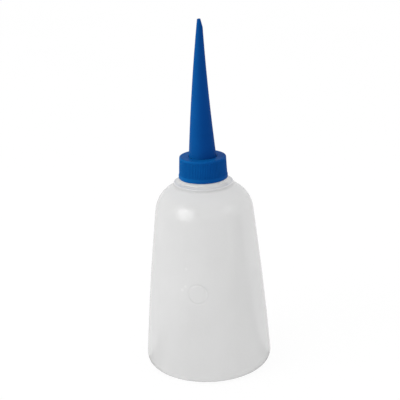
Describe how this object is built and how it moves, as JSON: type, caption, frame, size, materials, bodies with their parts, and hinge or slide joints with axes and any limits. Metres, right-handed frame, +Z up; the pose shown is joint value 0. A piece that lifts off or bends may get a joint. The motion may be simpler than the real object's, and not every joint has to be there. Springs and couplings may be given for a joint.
{
  "type": "glue applicator bottle",
  "caption": "Tapered squeeze bottle with a long conical applicator nozzle held on its neck by a ribbed screw collar.",
  "frame": {"origin": "centre of the base, on the plane that the bottle stands on", "axes": "+Z up along the bottle's axis, +X towards the side of the tip that the slanted cut faces"},
  "size_m": [0.086, 0.086, 0.2371],
  "materials": {
    "bottle_plastic": "milky translucent polyethylene, soft satin",
    "nozzle_plastic": "blue polyethylene, satin",
    "washer_foam": "white closed-cell foam, matte",
    "collar_plastic": "blue polypropylene, satin"
  },
  "bodies": {
    "bottle": {"bottle": "bottle_plastic"},
    "nozzle": {"nozzle": "nozzle_plastic", "sealing_washer": "washer_foam"},
    "collar": {"collar": "collar_plastic"}
  },
  "joints": [
    {"name": "nozzle_lift", "type": "slide", "parent": "bottle", "child": "nozzle", "axis": [0, 0, 1], "range_m": [0, 0.004]},
    {"name": "collar_turn", "type": "hinge", "parent": "nozzle", "child": "collar", "pos_m": [0, 0, 0.1395], "axis": [0, 0, 1], "range_deg": [0, 450]}
  ],
  "couplings": [
    {"joint": "nozzle_lift", "follows": "collar_turn", "m_per_rad": 0.0005093}
  ]
}
